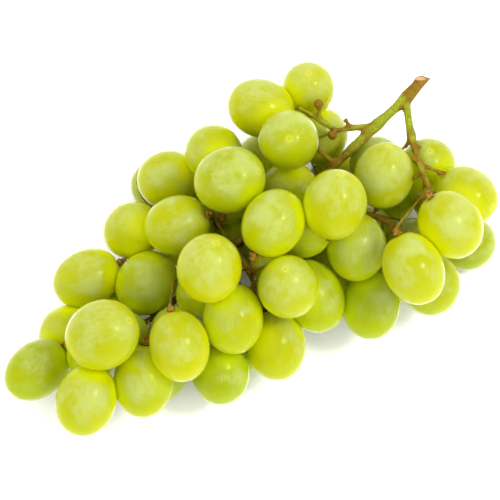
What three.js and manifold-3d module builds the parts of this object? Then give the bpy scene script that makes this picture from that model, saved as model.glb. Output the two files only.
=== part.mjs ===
// A bunch of white table grapes lying on its side: one branching woody stem, and the berries
// that hang on it in pressed-together sprays. Millimetres, +Z up, standing on z = 0.
import * as THREE from "three";
import { mergeVertices } from "three/addons/utils/BufferGeometryUtils.js";
import Module from "manifold-3d";

const wasm = await Module();
wasm.setup();

// ---- Driving dimensions -------------------------------------------------------------------

const FACE_LEAN = 68; // degrees that the broad, showing face of the bunch tips up from level
const FACE_HEIGHT = 38; // height of the middle of that face above the surface it lies on
const VIEW_DISTANCE = 900; // places on the face are given as seen from this far off
const LEAST_ELONGATION = 1.15; // length over width of a berry seen end on
const PRESS = 1.4; // how far two berries of a spray are pressed into each other
const LAYER = 7; // how much deeper each layer of berries lies than the one over it
const FLAT_DEPTH = 0.35; // how far the lowest berries are flattened where the bunch rests
const GAP = 0.3; // clear space between two solids that touch
const BERRY_SIDES = 9;
const BERRY_BANDS = 6;
const FACET_SWELL = 1.04; // how far the corners stand proud, which keeps the faces at the mean size
const FAR_APART = 32; // berries whose middles are farther apart than this never touch
const SETTLE_ROUNDS = 600; // of parting berries that overlap, drawn to the skin of the bunch
const LAST_ROUNDS = 200; // of parting them without that draw
const SKIN_PULL = 0.03; // share of the way to the skin that a berry is drawn in a round
const PART_SHARE = 0.3; // share of an overlap that each of the two berries gives way in a round
const HIDDEN_KINDS = [
  // berries on the underside and the back, then small ones deep in the gaps that show the surface
  { width: 21.5, length: 24.5, most: 36, gapWorth: 0, furthestOut: Infinity },
  { width: 15, length: 17, most: 4, gapWorth: 10, furthestOut: 3 },
];
const HIDDEN_UNEVENNESS = 0.05; // share by which they are larger or smaller than that
const SIGHT_RINGS = [[0, 1], [0.55, 6], [0.97, 12]]; // [share of the radius, points tested on it]
const HIDDEN_SHOWING = 8; // how many of those points a hidden berry may show in a gap
const COVER_DEPTH = 4; // how much deeper its middle lies than that of a berry that covers it
const SEE_THROUGH = [[-1.9, 41.5], [21.1, 31.5], [60.7, 13.3], [28, 27]]; // ways that stay clear
const WIDEST_GAP = 2.6; // radians between berries round a place that counts as inside
const ROUND_ABOUT = 28; // berries this near on the face stand round a place
const SLIDE_ROUNDS = 4;
const SLIDE_STEP = 0.1;
const SLIDE_MATES = 6; // how far a berry slides to touch one of its own spray
const SLIDE_ANY = 20; // and any other berry
const MOST_LIFT = 9; // how far a berry may come out of the face to touch its neighbours
const BED_SLACK = 0.8; // berries nearer than this to the surface are laid on it
const BEND_ROUNDS = 60;
const BEND_EVENING = 0.06; // share of the way to its neighbours' mean that a bend moves in a round
const BRANCH_ROOM = 3; // breadth of the clear way that a branch takes among the berries
const FLOOR_ROOM = 0.6; // between a branch or stalk and the surface
const STALK_ROOM = 0.7; // between a branch or stalk and the berries that it passes
const STALK_FREE_START = 24; // no stalk grows from this first stretch of the main stem
const STALK_TRIES = 8; // how many places of growth are tried for each stalk
const ROOTS_APART = 3; // between two of those places
const STALK_SPAN = 9; // a stalk has a bend about this often
const TURN_COST = 8; // millimetres of extra length that a stalk takes rather than turn back
const SHOWN_END_COST = 40; // the same, rather than sit on the end of a berry that faces out
const CROSSING_COST = 30; // the same, for each millimetre of berry or surface that it would cross
const LEAST_HOLD = 0.9; // overlap that surely joins two faceted berries
const MOST_HOLD = 1.8; // a hidden berry that has to overlap more than this is left out
const CONE_SLACK = 1.8; // how far out of the cone a hidden berry's middle may lie
const LATTICE = 3; // step of the lattice of free places
const LATTICE_LOW = [-96, -70, 11];
const LATTICE_HIGH = [96, 96, 66];
const NESTLE_ROUNDS = 40;
const SNUG_REACH = 6; // how near a neighbour counts as holding a berry in place
const STEM_CLEARANCE = 2; // from the skin of a berry to the middle of the main stem
const PEDICEL_WIDTH = 1.7; // the short stalk of one berry
const PEDICEL_FLARE = 1.3; // how much wider it is at its root and just above its seat
const SEAT_FLARE = 2; // how much wider its seat is
const SEAT_CLEAR = 0.8; // from the seat to the stem end of the even, unfaceted berry
const SEAT_LENGTH = 2.2; // its flared seat on the berry
const NECK_LENGTH = 4.2; // how far it runs straight out from the berry
const MAIN_SIDES = 8;
const BRANCH_SIDES = 6;
const STALK_SIDES = 4;
const BERRY_COLOR = 0xc3cf35;
const STEM_COLOR = 0x8a8f2f;

// ---- The leaning face ---------------------------------------------------------------------

const lean = THREE.MathUtils.degToRad(FACE_LEAN);
const RIGHT = new THREE.Vector3(1, 0, 0);
const UP = new THREE.Vector3(0, Math.sin(lean), Math.cos(lean));
const OUT = new THREE.Vector3(0, -Math.cos(lean), Math.sin(lean));

/** The point seen at (right, up) on the face, a distance out of it toward the viewer. */
function seen(right, up, out) {
  const near = 1 - out / VIEW_DISTANCE;
  return new THREE.Vector3(0, 0, FACE_HEIGHT)
    .addScaledVector(RIGHT, right * near)
    .addScaledVector(UP, up * near)
    .addScaledVector(OUT, out);
}

// ---- The berries that show, spray by spray ------------------------------------------------
// Each is [right, up, width, length as it appears, turn of that length in degrees, layer].
// Layer 0 lies on top, and a higher layer lies deeper.

const SPRAYS = {
  berries_tip: [
    [-78.9, -44.3, 20.7, 26.7, 40, 3],
    [-60.7, -55.6, 22.0, 27.0, 73, 3],
    [-54.8, -31.5, 25.3, 27.9, 28, 2],
    [-67.4, -31.5, 21.9, 23.0, 60, 4],
    [-58.5, -38.9, 19.0, 19.0, 0, 4],
    [-60.4, -10.6, 21.5, 26.8, 26, 2],
  ],
  berries_front_left: [
    [-39.5, -48.7, 21.9, 27.0, 85, 3],
    [-34.1, -45.9, 21.5, 22.2, 0, 4],
    [-26.1, -35.6, 21.8, 26.4, 103, 0],
    [-27.4, -29.6, 18.5, 18.5, 0, 4],
  ],
  berries_back_left: [
    [-38.3, -12.2, 22.6, 25.3, 54, 1],
    [-43.5, 7.2, 21.5, 22.6, 20, 2],
    [-27.0, 9.3, 21.9, 24.8, 19, 1],
    [-30.0, 26.1, 22.1, 24.4, 5, 2],
    [-34.1, 24.1, 20.7, 21.5, 0, 3],
  ],
  berries_middle: [
    [-15.0, -6.9, 23.4, 25.3, 75, 0],
    [-18.5, -16.4, 18.5, 18.5, 0, 4],
    [-6.3, -25.4, 22.1, 26.3, 90, 1],
  ],
  berries_front_middle: [
    [-10.9, -45.9, 21.3, 23.3, 90, 2],
    [-3.7, -35.9, 21.0, 21.0, 0, 4],
    [9.6, -35.2, 22.1, 26.4, 95, 2],
    [14.1, -13.7, 22.2, 23.2, 100, 0],
    [23.5, -17.0, 22.2, 28.1, 114, 2],
  ],
  berries_heart: [
    [8.7, 9.8, 22.4, 26.0, 61, 0],
    [19.6, 7.4, 20.7, 21.5, 0, 2],
    [14.4, 22.6, 20.7, 21.5, 0, 2],
    [31.5, 16.9, 23.3, 25.7, 80, 0],
    [32.2, 27.4, 21.5, 21.5, 0, 4],
  ],
  berries_back_middle: [
    [-7.5, 25.9, 24.3, 26.7, 15, 0],
    [-13.5, 35.9, 21.5, 21.9, 0, 1],
    [5.2, 33.3, 20.7, 21.5, 0, 2],
  ],
  berries_back_shoulder: [
    [4.1, 52.6, 22.2, 25.6, -19, 1],
    [14.4, 40.7, 22.2, 22.2, 0, 0],
    [21.5, 59.6, 20.0, 20.7, 90, 2],
    [25.9, 42.4, 21.5, 21.9, 90, 3],
  ],
  berries_front_shoulder: [
    [39.4, 1.1, 22.2, 25.3, 90, 1],
    [60.6, -7.0, 21.9, 27.0, 115, 0],
    [67.2, -13.1, 21.9, 23.3, 80, 1],
    [44.6, -20.4, 21.9, 25.9, 90, 2],
    [49.3, -12.6, 20.5, 20.5, 0, 4],
    [60.7, 1.9, 20.5, 20.5, 0, 4],
  ],
  berries_wing: [
    [49.6, 27.6, 22.1, 24.6, 80, 1],
    [46.7, 31.9, 20.7, 21.1, 90, 3],
    [65.9, 30.7, 21.5, 22.2, 90, 2],
    [79.4, 20.0, 22.5, 24.8, -25, 1],
    [74.2, 9.3, 22.7, 25.9, 127, 1],
    [80.4, 3.0, 21.9, 22.2, 0, 3],
    [52.6, 19.0, 18.5, 18.5, 0, 4],
    [69.8, 20.0, 21.5, 21.5, 0, 3],
  ],
};

// ---- The stem -----------------------------------------------------------------------------
// Each branch is a list of [right, up, out, thickness] along its middle line.

const MAIN_STEM = [
  [65.0, 64.9, -15, 5.6], [62.0, 59.4, -13, 5.0], [58.9, 54.8, -11, 6.0], [54.8, 52.6, -10, 4.4],
  [50.7, 50.1, -9.5, 4.2], [45.4, 47.0, -9, 5.6], [43.2, 43.3, -8, 4.6], [40.9, 38.9, -7.5, 4.6],
  [39.0, 35.9, -7, 5.0], [35.6, 35.0, -7, 3.6], [30.6, 32.3, -8, 4.8], [26.2, 29.7, -10, 3.0],
  [23.4, 27.2, -14, 3.2], [24.0, 20.0, -15, 3.2], [19.0, 11.0, -9, 3.2], [8.0, 9.0, -9, 3.0],
  [-2.0, 9.0, -9, 3.0], [-9.5, 6.5, -8, 3.8], [-19.0, -2.0, -8, 2.8], [-27.0, -13.0, -12, 3.2],
  [-35.0, -22.5, -13, 2.6], [-40.0, -29.0, -8, 3.0], [-47.0, -33.0, -9, 2.4], [-54.0, -33.5, -12, 2.2],
];

const BRANCHES = [
  // the branch over the right shoulder, its two berry stalks that show and its short spurs
  [[58.9, 54.8, -11, 4.4], [59.2, 50.5, -8, 3.5], [58.9, 44.5, -5, 3.5], [58.9, 40.7, -3, 4.4],
    [60.7, 37.4, 0, 3.0], [62.6, 34.4, 3, 3.2], [63.9, 31.5, 5, 3.8], [63.3, 27.6, 8, 2.8],
    [64.6, 24.6, 12, 3.0], [66.4, 21.9, 16, 2.0], [68.0, 20.2, 19, 3.6]],
  [[63.9, 31.5, 5, 2.8], [67.4, 30.4, 6, 1.9], [70.7, 28.7, 7, 1.9], [72.2, 27.6, 8, 3.6]],
  [[58.9, 40.7, -3, 2.6], [57.2, 38.8, -3, 1.8], [55.6, 36.2, -3, 1.8]],
  [[60.7, 37.4, 0, 2.0], [62.6, 37.6, 1, 2.2], [63.5, 37.9, 1.4, 1.4]],
  [[62.6, 34.4, 3, 1.6], [61.2, 34.2, 4, 1.2], [60.5, 33.8, 4.5, 1.2]],
  [[63.3, 27.6, 8, 2.2], [61.9, 26.8, 8, 1.6], [60.2, 26.5, 7, 2.0]],
  [[64.6, 24.6, 12, 2.4], [63.2, 22.4, 11, 1.6], [62.8, 20.2, 9, 2.4], [62.6, 17.4, 7, 1.6]],
  // the branch over the back shoulder, with the stalks of berries that never swelled
  [[45.4, 47.0, -9, 3.6], [40.2, 47.1, -8, 2.9], [37.1, 46.4, -7, 3.4], [31.9, 45.2, -6, 2.2],
    [28.4, 43.8, -6, 1.8], [25.2, 41.4, -8, 1.7]],
  [[37.1, 46.4, -7, 2.2], [36.0, 47.4, -6, 1.6], [35.2, 48.3, -5.5, 2.0]],
  [[32.4, 45.2, -6, 2.4], [29.0, 46.0, -4, 2.8], [25.8, 47.1, -2, 3.4], [24.2, 50.0, -1, 2.6],
    [22.0, 51.2, -1, 2.0], [19.2, 52.4, -2, 1.5], [17.3, 53.1, -3, 2.4]],
  [[25.8, 47.1, -2, 2.8], [26.2, 50.0, -1, 2.0], [25.7, 52.4, -0.5, 1.7]],
  [[32.4, 45.2, -6, 1.8], [31.4, 43.8, -4, 1.6]],
  // the side twig where the main stem goes in among the berries
  [[30.6, 32.3, -8, 3.0], [27.8, 33.2, -6, 2.4], [26.0, 35.6, -4, 2.2], [24.6, 37.8, -3, 2.6]],
  // the sprig under the right shoulder
  [[24.0, 20.0, -15, 2.6], [34.0, 18.5, -6, 2.4], [43.2, 16.5, 0, 2.4], [46.2, 12.7, 1, 2.0],
    [48.5, 10.6, 1, 3.0], [51.0, 10.3, 1, 2.0], [54.1, 10.4, 1, 3.2], [57.6, 7.4, 1, 2.2],
    [59.4, 5.6, 0, 1.8]],
  [[48.5, 10.6, 1, 2.0], [51.0, 9.0, 1, 1.6], [53.4, 6.4, 0, 1.8]],
  // the branch down the middle of the face
  [[-9.5, 6.5, -8, 3.0], [-5.6, 3.7, -4, 2.6], [-2.6, 0.0, 0, 2.6], [-1.1, -4.4, 3, 3.4],
    [1.4, -10.0, 3, 2.2], [3.4, -17.0, 2, 2.2], [4.8, -24.0, 0, 2.0]],
  [[-9.5, 6.5, -8, 2.4], [-12.0, 9.6, -3, 2.0], [-14.6, 14.0, 1, 2.4]],
];
const BUDS = [[25.4, 54.1, 0, 3.9], [30.6, 42.6, -3, 4.0], [60.4, 33.6, 5, 3.0]];

// ---- The body of the bunch ----------------------------------------------------------------
// A cone lying down: its tip, the level direction it runs in, and its girth on the way, as
// [distance from the tip, half its breadth, half its height], measured to the berries' middles.

const CONE_TIP = new THREE.Vector3(-74, -42, 0);
const CONE_TURN = THREE.MathUtils.degToRad(30);
const CONE_GIRTH = [
  [0, 6, 5], [20, 19, 12], [45, 29, 18], [80, 37, 22], [113, 41, 24], [140, 43, 23], [152, 38, 20],
];
const CONE_BACK = 16; // how far the broad end bulges past the last girth
const CONE_BED = 12; // height of the lowest berries' middles
const SKIN_SEARCH = [60, -70, 0.5]; // from, to and step of the search for the skin along a sight line
const along = new THREE.Vector3(Math.cos(CONE_TURN), Math.sin(CONE_TURN), 0);
const across = new THREE.Vector3(-Math.sin(CONE_TURN), Math.cos(CONE_TURN), 0);

/** Under 1 inside the cone, 1 on its skin and more outside it. */
function depthInCone(point) {
  const way = point.clone().sub(CONE_TIP);
  const run = way.dot(along);
  const last = CONE_GIRTH.at(-1)[0];
  const at = THREE.MathUtils.clamp(run, 0, last);
  const next = Math.max(1, CONE_GIRTH.findIndex(([distance]) => distance >= at));
  const [from, breadth, height] = CONE_GIRTH[next - 1];
  const [to, nextBreadth, nextHeight] = CONE_GIRTH[next];
  const share = (at - from) / (to - from);
  const halfBreadth = THREE.MathUtils.lerp(breadth, nextBreadth, share);
  const halfHeight = THREE.MathUtils.lerp(height, nextHeight, share);
  const side = way.dot(across) / halfBreadth;
  const rise = (point.z - CONE_BED - halfHeight) / halfHeight;
  const past = (run - at) / CONE_BACK;
  return side * side + rise * rise + past * past;
}

/** How far out of the face the cone's skin lies at (right, up). */
function skinOut(right, up) {
  let nearest = [Infinity, 0];
  const [from, to, step] = SKIN_SEARCH;
  for (let out = from; out > to; out -= step) {
    const depth = depthInCone(seen(right, up, out));
    if (depth <= 1) return out;
    if (depth < nearest[0]) nearest = [depth, out];
  }
  return nearest[1];
}

// ---- Laying the berries -------------------------------------------------------------------

/** Distance from a berry's middle to its skin in a direction. */
function reach(berry, direction) {
  const lengthwise = berry.axis.dot(direction) ** 2;
  return 1 / Math.sqrt(lengthwise / berry.halfLength ** 2 + (1 - lengthwise) / berry.halfWidth ** 2);
}

/** Height of a berry's middle when it lies on the surface, pressed flat by FLAT_DEPTH. */
function bedHeight(berry) {
  const upright = berry.axis.z ** 2;
  return Math.sqrt(berry.halfLength ** 2 * upright + berry.halfWidth ** 2 * (1 - upright)) - FLAT_DEPTH;
}

/** How far two berries overlap along the line between their middles. */
function overlap(one, other) {
  const way = other.middle.clone().sub(one.middle);
  const distance = way.length();
  way.normalize();
  return reach(one, way) + reach(other, way) - distance;
}

/** A berry that shows, tilted out of the face by as much as its length is foreshortened. */
function showingBerry(spray, [right, up, width, lengthSeen, turn, layer]) {
  const seenRatio = Math.max(1, lengthSeen / width);
  const ratio = Math.max(LEAST_ELONGATION, seenRatio);
  const tilt = Math.asin(Math.sqrt((seenRatio ** 2 - 1) / (ratio ** 2 - 1)));
  const angle = THREE.MathUtils.degToRad(turn);
  const axis = RIGHT.clone().multiplyScalar(Math.cos(angle)).addScaledVector(UP, Math.sin(angle))
    .multiplyScalar(Math.sin(tilt)).addScaledVector(OUT, Math.cos(tilt));
  const skin = skinOut(right, up) - LAYER * layer;
  const berry = { spray, right, up, layer, skin, out: skin, axis, showing: true };
  berry.halfWidth = width / 2;
  berry.halfLength = (width * ratio) / 2;
  berry.middle = seen(right, up, skin);
  return berry;
}

/** Pushes one berry of an overlapping pair toward the viewer and the other away. */
function partInSight(one, other) {
  const way = other.middle.clone().sub(one.middle);
  const distance = way.length();
  if (distance > FAR_APART) return;
  way.normalize();
  const need = reach(one, way) + reach(other, way) - PRESS;
  const sideways = Math.sqrt(Math.max(0, distance ** 2 - (other.out - one.out) ** 2));
  if (sideways >= need) return;
  const order = one.layer - other.layer || other.out - one.out;
  const [front, back] = order < 0 ? [one, other] : [other, one];
  const lack = Math.sqrt(need ** 2 - sideways ** 2) - (front.out - back.out);
  if (lack <= 0) return;
  front.out += PART_SHARE * lack;
  back.out -= PART_SHARE * lack;
  front.middle = seen(front.right, front.up, front.out);
  back.middle = seen(back.right, back.up, back.out);
}

/** How far out of the face a berry lies that has sunk to the surface along its sight line. */
function bedOut(berry) {
  return (bedHeight(berry) - FACE_HEIGHT - berry.up * UP.z) / OUT.z;
}

/** Parts all the berries along their sight lines, and draws them toward the skin of the bunch. */
function settleInSight(berries, rounds, pull) {
  for (let round = 0; round < rounds; round++) {
    berries.forEach((one, i) => berries.slice(i + 1).forEach((other) => partInSight(one, other)));
    for (const berry of berries) {
      berry.out = Math.max(bedOut(berry), berry.out + pull * (berry.skin - berry.out));
      berry.middle = seen(berry.right, berry.up, berry.out);
    }
  }
}

/** Slides a berry along its sight line to the nearest place where it presses on one of the mates. */
function slideToTouch(berry, mates, others, most) {
  const bed = bedOut(berry);
  const start = berry.out;
  const slack = 2 * SLIDE_STEP;
  const pressed = (list) => Math.max(...list.map((other) => overlap(berry, other)));
  for (let shift = 0; shift <= most; shift += SLIDE_STEP) {
    for (const out of [start - shift, start + shift]) {
      if (out < bed || out > start + MOST_LIFT) continue;
      berry.out = out;
      berry.middle = seen(berry.right, berry.up, out);
      if (pressed(mates) > PRESS - slack && pressed(others) < PRESS + slack) return true;
    }
  }
  berry.out = start;
  berry.middle = seen(berry.right, berry.up, start);
  return false;
}

const berries = [];
for (const [spray, places] of Object.entries(SPRAYS)) {
  for (const place of places) berries.push(showingBerry(spray, place));
}
settleInSight(berries, SETTLE_ROUNDS, SKIN_PULL);
settleInSight(berries, LAST_ROUNDS, 0);
for (let round = 0; round < SLIDE_ROUNDS; round++) {
  for (const berry of [...berries].sort((one, other) => one.out - other.out)) {
    const others = berries.filter((other) => other !== berry);
    const mates = others.filter((other) => other.spray === berry.spray);
    if (slideToTouch(berry, mates, others, SLIDE_MATES)) continue;
    slideToTouch(berry, others, others, SLIDE_ANY);
  }
}

// ---- Laying the stem ----------------------------------------------------------------------

/** How far a rod of this thickness round a point would run into a berry, less than 0 if clear. */
function crossing(point, thickness, berry) {
  const away = point.clone().sub(berry.middle);
  const distance = away.length();
  return FACET_SWELL * reach(berry, away.normalize()) + thickness / 2 - distance;
}

/** Pushes the inner points of a branch out of the berries that it would cross, and evens them. */
function bendClear(points, thickness, own) {
  for (let round = 0; round < BEND_ROUNDS; round++) {
    for (const bend of points.slice(1, -1)) {
      for (const berry of berries) {
        const need = crossing(bend, thickness, berry) + (berry === own ? GAP : STALK_ROOM);
        if (need > 0) bend.addScaledVector(bend.clone().sub(berry.middle).normalize(), 0.5 * need);
      }
      bend.z = Math.max(bend.z, thickness / 2 + FLOOR_ROOM);
    }
    for (let i = 1; i < points.length - 1; i++) {
      const between = points[i - 1].clone().lerp(points[i + 1], 0.5);
      points[i].lerp(between, BEND_EVENING);
    }
  }
}

const nearestOf = (list, point) => (
  list.reduce((best, at) => (at.distanceTo(point) < best.distanceTo(point) ? at : best)));

const stemLines = [];
const stemPoints = [];
for (const branch of [MAIN_STEM, ...BRANCHES]) {
  const points = branch.map(([right, up, out]) => seen(right, up, out));
  if (stemPoints.length) points[0] = nearestOf(stemPoints, points[0]).clone();
  bendClear(points, BRANCH_ROOM, null);
  stemLines.push({ points, widths: branch.map((place) => place[3]) });
  const line = new THREE.CatmullRomCurve3(points, false, "centripetal");
  stemPoints.push(...line.getPoints(4 * branch.length));
}

// ---- The berries behind and below ---------------------------------------------------------

/** True where berries stand round a place on the face on every side. */
function isInside(right, up) {
  const angles = berries
    .filter((berry) => berry.showing)
    .filter((berry) => Math.hypot(berry.right - right, berry.up - up) < ROUND_ABOUT)
    .map((berry) => Math.atan2(berry.up - up, berry.right - right))
    .sort((one, other) => one - other);
  if (!angles.length) return false;
  const before = [angles.at(-1) - 2 * Math.PI, ...angles];
  return Math.max(...angles.map((angle, i) => angle - before[i])) < WIDEST_GAP;
}

/** Where a berry in this place stands on the face, and the points of its outline and middle. */
function sightOf(point, radius) {
  const fromFace = point.clone().sub(new THREE.Vector3(0, 0, FACE_HEIGHT));
  const out = fromFace.dot(OUT);
  const near = 1 - out / VIEW_DISTANCE;
  const right = fromFace.x / near;
  const up = fromFace.dot(UP) / near;
  const points = [];
  for (const [ring, count] of SIGHT_RINGS) {
    for (let step = 0; step < count; step++) {
      const angle = (2 * Math.PI * step) / count;
      const [x, y] = [Math.cos(angle), Math.sin(angle)];
      points.push([right + ring * radius * x, up + ring * radius * y]);
    }
  }
  return { right, up, out, points };
}

const covers = (berry, [x, y]) => (
  Math.hypot(berry.right - x, berry.up - y) < berry.halfWidth);

/** True if a berry in this place would be behind those that show, or deep in a gap among them. */
function isHidden(point, radius) {
  const { right, up, out, points } = sightOf(point, radius);
  if (SEE_THROUGH.some(([x, y]) => Math.hypot(right - x, up - y) < radius + 1)) return false;
  const inFront = berries.filter((berry) => berry.showing && berry.out > out + COVER_DEPTH);
  const shown = points.filter((at) => !inFront.some((berry) => covers(berry, at)));
  return shown.length <= HIDDEN_SHOWING && shown.every(([x, y]) => isInside(x, y));
}

/** Distance from a point to the nearest branch. */
function stemDistance(point) {
  return Math.min(...stemPoints.map((at) => at.distanceTo(point)));
}

/** Free places on a fine lattice inside the cone, out of sight and clear of the main stem. */
function freePlaces(halfWidth, furthestOut) {
  const places = [];
  for (let x = LATTICE_LOW[0]; x <= LATTICE_HIGH[0]; x += LATTICE) {
    for (let y = LATTICE_LOW[1]; y <= LATTICE_HIGH[1]; y += LATTICE) {
      for (let z = LATTICE_LOW[2]; z <= LATTICE_HIGH[2]; z += LATTICE) {
        const point = new THREE.Vector3(x, y, z);
        if (depthInCone(point) > CONE_SLACK) continue;
        if (stemDistance(point) < halfWidth + STEM_CLEARANCE) continue;
        const { out, points } = sightOf(point, halfWidth);
        if (out > furthestOut || !isHidden(point, halfWidth)) continue;
        places.push({ point, points, snug: 0 });
      }
    }
  }
  return places;
}

const mostPressed = (berry, list) => (
  list.reduce((most, other) => (overlap(berry, other) > overlap(berry, most) ? other : most)));

/** Presses a new berry against the nearest one, clear of deeper overlaps with the rest. */
function nestle(berry, others) {
  for (let round = 0; round < NESTLE_ROUNDS; round++) {
    const push = new THREE.Vector3();
    let deepest = null;
    for (const other of others) {
      const depth = overlap(berry, other);
      const away = berry.middle.clone().sub(other.middle).normalize();
      if (depth > PRESS) push.addScaledVector(away, 0.5 * (depth - PRESS));
      if (!deepest || depth > deepest.depth) deepest = { depth, away };
    }
    if (deepest.depth < PRESS) push.addScaledVector(deepest.away, 0.5 * (deepest.depth - PRESS));
    berry.middle.add(push);
    berry.middle.z = Math.max(berry.middle.z, bedHeight(berry));
  }
}

/** A berry out of sight, its stem end toward the nearest branch. */
function hiddenBerry(point, width, length, index) {
  const root = nearestOf(stemPoints, point);
  const size = 1 + HIDDEN_UNEVENNESS * Math.sin(2.4 * index);
  return {
    middle: point.clone(),
    axis: root.clone().sub(point).normalize(),
    halfWidth: (size * width) / 2,
    halfLength: (size * length) / 2,
    showing: false,
  };
}

/** True if a berry left the main stem's clear way or its hidden place. */
function isAstray({ middle, halfWidth }) {
  return stemDistance(middle) < halfWidth + STEM_CLEARANCE - 1 || !isHidden(middle, halfWidth);
}

/** Adds up how closely the berries so far stand round a place, or marks it as taken. */
function weigh(place, halfWidth, gapWorth) {
  const bare = place.points.filter((at) => !berries.some((berry) => covers(berry, at)));
  place.snug = gapWorth * bare.length;
  for (const other of berries) {
    const clear = place.point.distanceTo(other.middle) - other.halfWidth - halfWidth;
    if (clear < -PRESS) place.taken = true;
    place.snug += Math.max(0, SNUG_REACH - clear);
  }
}

/** Fills the hidden room with berries of a kind, the snuggest place first. */
function fillBehind({ width, length, most, gapWorth, furthestOut }) {
  let free = freePlaces(width / 2, furthestOut);
  for (let index = 0; index < most; index++) {
    for (const place of free) weigh(place, width / 2, gapWorth);
    free = free.filter((place) => !place.taken);
    if (!free.length) return;
    const best = free.reduce((most, place) => (place.snug > most.snug ? place : most));
    best.taken = true;
    const berry = hiddenBerry(best.point, width, length, index);
    nestle(berry, berries);
    const against = mostPressed(berry, berries);
    if (overlap(berry, against) > MOST_HOLD || isAstray(berry)) continue;
    const { right, up, out } = sightOf(berry.middle, berry.halfWidth);
    berries.push({ ...berry, right, up, out, spray: against.spray });
  }
}
HIDDEN_KINDS.forEach(fillBehind);

/** Hands a berry that presses on none of its own spray over to the spray that it presses on most. */
function handOverStrays() {
  const holds = (one, other) => one !== other && overlap(one, other) > LEAST_HOLD;
  for (const spray of Object.keys(SPRAYS)) {
    const members = berries.filter((berry) => berry.spray === spray);
    const groups = [];
    for (const berry of members) {
      const joined = groups.filter((group) => group.some((mate) => holds(berry, mate)));
      for (const group of joined) groups.splice(groups.indexOf(group), 1);
      groups.push([berry, ...joined.flat()]);
    }
    groups.sort((one, other) => other.length - one.length);
    for (const stray of groups.slice(1).flat()) {
      const hosts = berries.filter((berry) => berry.spray !== spray && holds(stray, berry));
      if (!hosts.length) continue;
      stray.spray = mostPressed(stray, hosts).spray;
    }
  }
}
handOverStrays();
handOverStrays();

// the berries that hang just above the surface lie down on it
for (const berry of berries) {
  const bed = bedHeight(berry);
  if (berry.middle.z - bed < BED_SLACK) berry.middle.z = bed;
}

// ---- Stalks -------------------------------------------------------------------------------

/** The stalk from a place on the stem to the flared seat on an end of a berry. */
function stalkBetween(root, end, outward, berry) {
  const seat = end.clone().addScaledVector(outward, SEAT_LENGTH);
  const neck = end.clone().addScaledVector(outward, NECK_LENGTH);
  const spans = Math.max(2, Math.ceil(root.distanceTo(neck) / STALK_SPAN));
  const points = [];
  for (let span = 0; span < spans; span++) points.push(root.clone().lerp(neck, span / spans));
  points.push(neck, seat);
  bendClear(points, PEDICEL_WIDTH, berry);
  points.push(end.clone().addScaledVector(outward, SEAT_CLEAR));
  const widths = points.map(() => PEDICEL_WIDTH);
  widths[0] *= PEDICEL_FLARE;
  widths.splice(-2, 2, PEDICEL_FLARE * PEDICEL_WIDTH, SEAT_FLARE * PEDICEL_WIDTH);
  const line = new THREE.CatmullRomCurve3(points, false, "centripetal").getPoints(3 * points.length);
  let crossed = line.reduce((sum, at) => sum + Math.max(0, PEDICEL_WIDTH - at.z), 0);
  for (const at of line.slice(0, -3)) {
    for (const other of berries) crossed += Math.max(0, crossing(at, PEDICEL_WIDTH, other));
  }
  return { points, widths, crossed };
}

/** The shortest clear stalk of a berry, grown from any branch. */
function stalkOf(berry) {
  const tries = [];
  for (const side of [1, -1]) {
    const outward = berry.axis.clone().multiplyScalar(side);
    const end = berry.middle.clone().addScaledVector(outward, berry.halfLength);
    const shownCost = berry.showing ? SHOWN_END_COST * Math.max(0, outward.dot(OUT)) : 0;
    for (const root of stemPoints.slice(STALK_FREE_START)) {
      const way = root.clone().sub(end);
      const turn = 1 - way.dot(outward) / way.length();
      tries.push({ cost: way.length() + TURN_COST * turn + shownCost, root, end, outward });
    }
  }
  tries.sort((one, other) => one.cost - other.cost);
  const apart = [];
  for (const one of tries) {
    if (apart.length === STALK_TRIES) break;
    const near = (other) => other.end === one.end && other.root.distanceTo(one.root) < ROOTS_APART;
    if (!apart.some(near)) apart.push(one);
  }
  let best = null;
  for (const { cost, root, end, outward } of apart) {
    const stalk = stalkBetween(root, end, outward, berry);
    stalk.cost = cost + CROSSING_COST * stalk.crossed;
    if (!best || stalk.cost < best.cost) best = stalk;
  }
  return best;
}

// ---- Solids -------------------------------------------------------------------------------

/** A closed geometry as a solid: shared corners merged and the slivers at its poles left out. */
function solidOf(geometry) {
  const bare = geometry.clone();
  bare.deleteAttribute("normal");
  bare.deleteAttribute("uv");
  const merged = mergeVertices(bare, 1e-4);
  const corners = [];
  for (let i = 0; i < merged.index.count; i += 3) {
    const [a, b, c] = [0, 1, 2].map((corner) => merged.index.getX(i + corner));
    if (a !== b && b !== c && c !== a) corners.push(a, b, c);
  }
  const vertProperties = new Float32Array(merged.attributes.position.array);
  const triVerts = new Uint32Array(corners);
  return new wasm.Manifold(new wasm.Mesh({ numProp: 3, vertProperties, triVerts }));
}

/** A berry as a faceted egg, grown evenly all round. */
function berrySolid(berry, grow) {
  const across = FACET_SWELL * berry.halfWidth + grow;
  const alongAxis = FACET_SWELL * berry.halfLength + grow;
  const profile = [new THREE.Vector2(0, -alongAxis)];
  for (let band = 1; band < BERRY_BANDS; band++) {
    const angle = (Math.PI * band) / BERRY_BANDS;
    profile.push(new THREE.Vector2(across * Math.sin(angle), -alongAxis * Math.cos(angle)));
  }
  profile.push(new THREE.Vector2(0, alongAxis));
  const geometry = new THREE.LatheGeometry(profile, BERRY_SIDES);
  const upright = new THREE.Vector3(0, 1, 0);
  geometry.applyQuaternion(new THREE.Quaternion().setFromUnitVectors(upright, berry.axis));
  geometry.translate(...berry.middle.toArray());
  return solidOf(geometry);
}

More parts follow.
